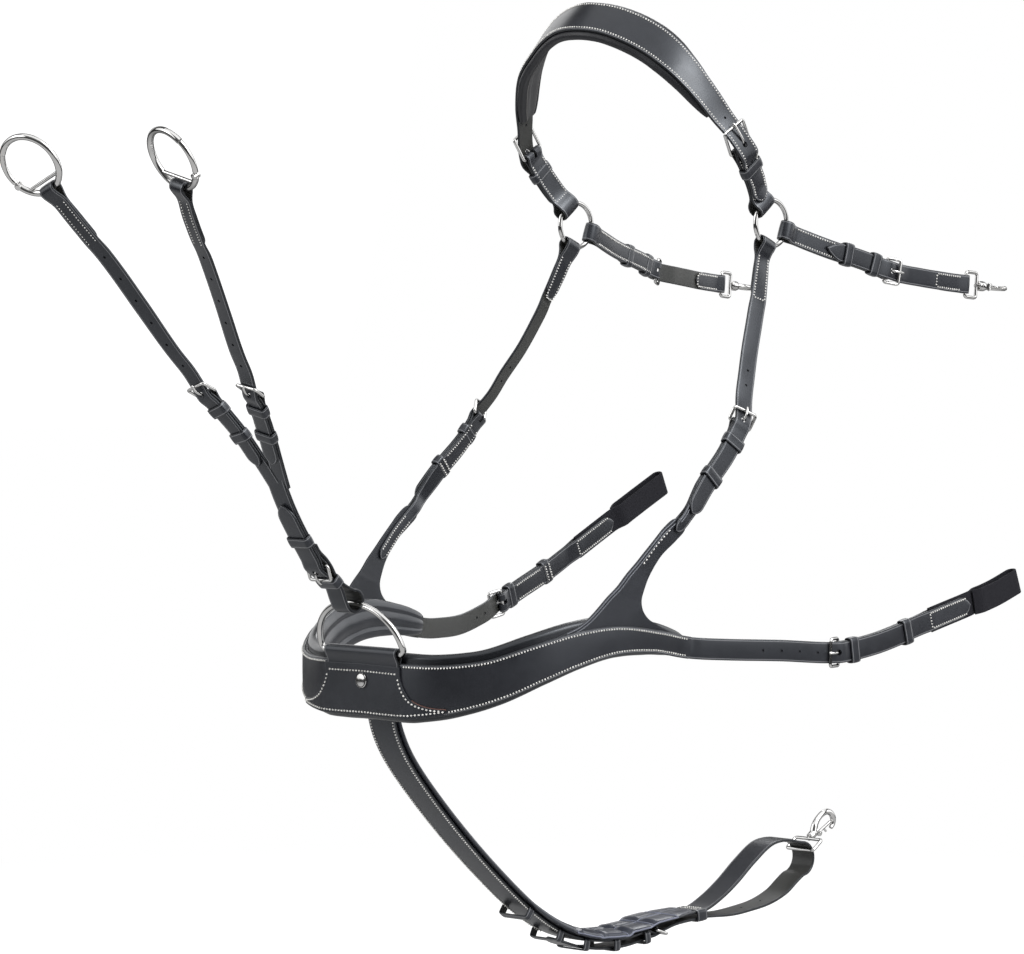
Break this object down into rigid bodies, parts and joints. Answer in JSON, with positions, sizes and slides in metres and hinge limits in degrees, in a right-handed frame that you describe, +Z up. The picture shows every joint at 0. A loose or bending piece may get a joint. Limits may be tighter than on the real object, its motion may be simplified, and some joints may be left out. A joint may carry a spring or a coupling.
{
  "type": "hunting breastplate",
  "caption": "Black leather hunting breastplate: padded wither arch and breast collar, saddle and girth straps, martingale fork with rein rings, and a belly strap.",
  "frame": {"origin": "middle of the wither pad's underside, at the crest of the arch", "axes": "+X to the horse's near (left) side, -Y to the horse's front, +Z up"},
  "size_m": [0.4866, 1.0349, 0.9043],
  "materials": {
    "black_leather": "semi-gloss black, stitched",
    "soft_leather": "soft black, padded",
    "elastic": "matt black woven elastic",
    "nickel": "polished"
  },
  "bodies": {
    "breastplate": {"belly_buckle": "nickel", "belly_loop_strap": "black_leather", "belly_pad": "soft_leather", "belly_strap": "black_leather", "chest_stud": "nickel", "collar_body": "black_leather", "collar_face": "black_leather", "collar_overlay": "black_leather", "collar_pad": "soft_leather", "far_girth_buckle": "nickel", "far_girth_chape": "black_leather", "far_girth_elastic": "elastic", "far_girth_strap": "black_leather", "far_shoulder_buckle": "nickel", "far_shoulder_strap": "black_leather", "far_shoulder_tug": "black_leather", "far_wither_buckle": "nickel", "far_wither_chape": "black_leather", "far_wither_ring": "nickel", "near_girth_buckle": "nickel", "near_girth_chape": "black_leather", "near_girth_elastic": "elastic", "near_girth_strap": "black_leather", "near_shoulder_buckle": "nickel", "near_shoulder_strap": "black_leather", "near_shoulder_tug": "black_leather", "near_wither_buckle": "nickel", "near_wither_chape": "black_leather", "near_wither_ring": "nickel", "wither_pad": "soft_leather", "wither_strap": "black_leather"},
    "chest_ring": {"chest_ring": "nickel"},
    "martingale": {"martingale_fork": "black_leather", "martingale_loop": "black_leather", "martingale_buckle": "nickel", "near_arm_strap": "black_leather", "far_arm_strap": "black_leather", "near_arm_buckle": "nickel", "far_arm_buckle": "nickel"},
    "near_rein_ring": {"near_rein_ring": "nickel"},
    "near_rein_gate": {"near_rein_gate": "nickel"},
    "near_saddle_strap": {"near_saddle_chape": "black_leather", "near_saddle_billet": "black_leather", "near_saddle_buckle": "nickel"},
    "far_rein_ring": {"far_rein_ring": "nickel"},
    "far_rein_gate": {"far_rein_gate": "nickel"},
    "far_saddle_strap": {"far_saddle_chape": "black_leather", "far_saddle_billet": "black_leather", "far_saddle_buckle": "nickel"},
    "near_snap_eye": {"near_snap_eye": "nickel"},
    "near_snap_body": {"near_snap_body": "nickel"},
    "near_snap_trigger": {"near_snap_trigger": "nickel"},
    "far_snap_eye": {"far_snap_eye": "nickel"},
    "far_snap_body": {"far_snap_body": "nickel"},
    "far_snap_trigger": {"far_snap_trigger": "nickel"},
    "belly_snap_eye": {"belly_snap_eye": "nickel"},
    "belly_snap_body": {"belly_snap_body": "nickel"},
    "belly_snap_trigger": {"belly_snap_trigger": "nickel"}
  },
  "joints": [
    {"name": "chest_ring_swing", "type": "hinge", "parent": "breastplate", "child": "chest_ring", "pos_m": [0, -0.287, -0.575], "axis": [1, 0, 0], "range_deg": [-90, 90]},
    {"name": "martingale_swing", "type": "hinge", "parent": "chest_ring", "child": "martingale", "pos_m": [0, -0.30342, -0.52989], "axis": [1, 0, 0], "range_deg": [-90, 75]},
    {"name": "near_rein_ring_swing", "type": "hinge", "parent": "martingale", "child": "near_rein_ring", "pos_m": [0.0886, -0.5814, -0.1588], "axis": [-0.9694, -0.0053, 0.2452], "range_deg": [-135, 135]},
    {"name": "near_rein_gate_press", "type": "hinge", "parent": "near_rein_ring", "child": "near_rein_gate", "pos_m": [0.11805, -0.59061, -0.14987], "axis": [-0.12, -0.8618, -0.4929], "range_deg": [0, 40], "stiffness_Nm_per_rad": 0.05, "springref_deg": -17.19},
    {"name": "near_saddle_strap_swing", "type": "hinge", "parent": "breastplate", "child": "near_saddle_strap", "pos_m": [0.129, 0.14267, -0.19152], "axis": [0, -0.342, -0.9397], "range_deg": [-20, 100]},
    {"name": "near_snap_eye_swing", "type": "hinge", "parent": "near_saddle_strap", "child": "near_snap_eye", "pos_m": [0.162, 0.37, -0.242], "axis": [0.0105, 0.0876, 0.9961], "range_deg": [-135, 135]},
    {"name": "near_snap_swivel", "type": "hinge", "parent": "near_snap_eye", "child": "near_snap_body", "pos_m": [0.162, 0.37, -0.242], "axis": [0.0904, 0.992, -0.0882], "continuous": true},
    {"name": "near_snap_trigger_press", "type": "hinge", "parent": "near_snap_body", "child": "near_snap_trigger", "pos_m": [0.16803, 0.39866, -0.24458], "axis": [0.0105, 0.0876, 0.9961], "range_deg": [0, 18], "stiffness_Nm_per_rad": 0.05, "springref_deg": -17.19},
    {"name": "far_rein_ring_swing", "type": "hinge", "parent": "martingale", "child": "far_rein_ring", "pos_m": [-0.0859, -0.5799, -0.1591], "axis": [-0.9145, -0.0472, -0.4019], "range_deg": [-135, 135]},
    {"name": "far_rein_gate_press", "type": "hinge", "parent": "far_rein_ring", "child": "far_rein_gate", "pos_m": [-0.11568, -0.59138, -0.15547], "axis": [-0.2598, 0.8299, 0.4937], "range_deg": [0, 40], "stiffness_Nm_per_rad": 0.05, "springref_deg": -17.19},
    {"name": "far_saddle_strap_swing", "type": "hinge", "parent": "breastplate", "child": "far_saddle_strap", "pos_m": [-0.129, 0.14267, -0.19152], "axis": [0, 0.342, 0.9397], "range_deg": [-20, 100]},
    {"name": "far_snap_eye_swing", "type": "hinge", "parent": "far_saddle_strap", "child": "far_snap_eye", "pos_m": [-0.162, 0.37, -0.242], "axis": [0.0105, -0.0876, -0.9961], "range_deg": [-135, 135]},
    {"name": "far_snap_swivel", "type": "hinge", "parent": "far_snap_eye", "child": "far_snap_body", "pos_m": [-0.162, 0.37, -0.242], "axis": [-0.0904, 0.992, -0.0882], "continuous": true},
    {"name": "far_snap_trigger_press", "type": "hinge", "parent": "far_snap_body", "child": "far_snap_trigger", "pos_m": [-0.16803, 0.39866, -0.24458], "axis": [0.0105, -0.0876, -0.9961], "range_deg": [0, 18], "stiffness_Nm_per_rad": 0.05, "springref_deg": -17.19},
    {"name": "belly_snap_eye_swing", "type": "hinge", "parent": "breastplate", "child": "belly_snap_eye", "pos_m": [0, 0.31081, -0.80643], "axis": [1, 0, 0], "range_deg": [-95, 95]},
    {"name": "belly_snap_swivel", "type": "hinge", "parent": "belly_snap_eye", "child": "belly_snap_body", "pos_m": [0, 0.31081, -0.80643], "axis": [0, 0.8192, 0.5736], "continuous": true},
    {"name": "belly_snap_trigger_press", "type": "hinge", "parent": "belly_snap_body", "child": "belly_snap_trigger", "pos_m": [0, 0.3384, -0.7923], "axis": [1, 0, 0], "range_deg": [0, 18], "stiffness_Nm_per_rad": 0.05, "springref_deg": -17.19}
  ]
}
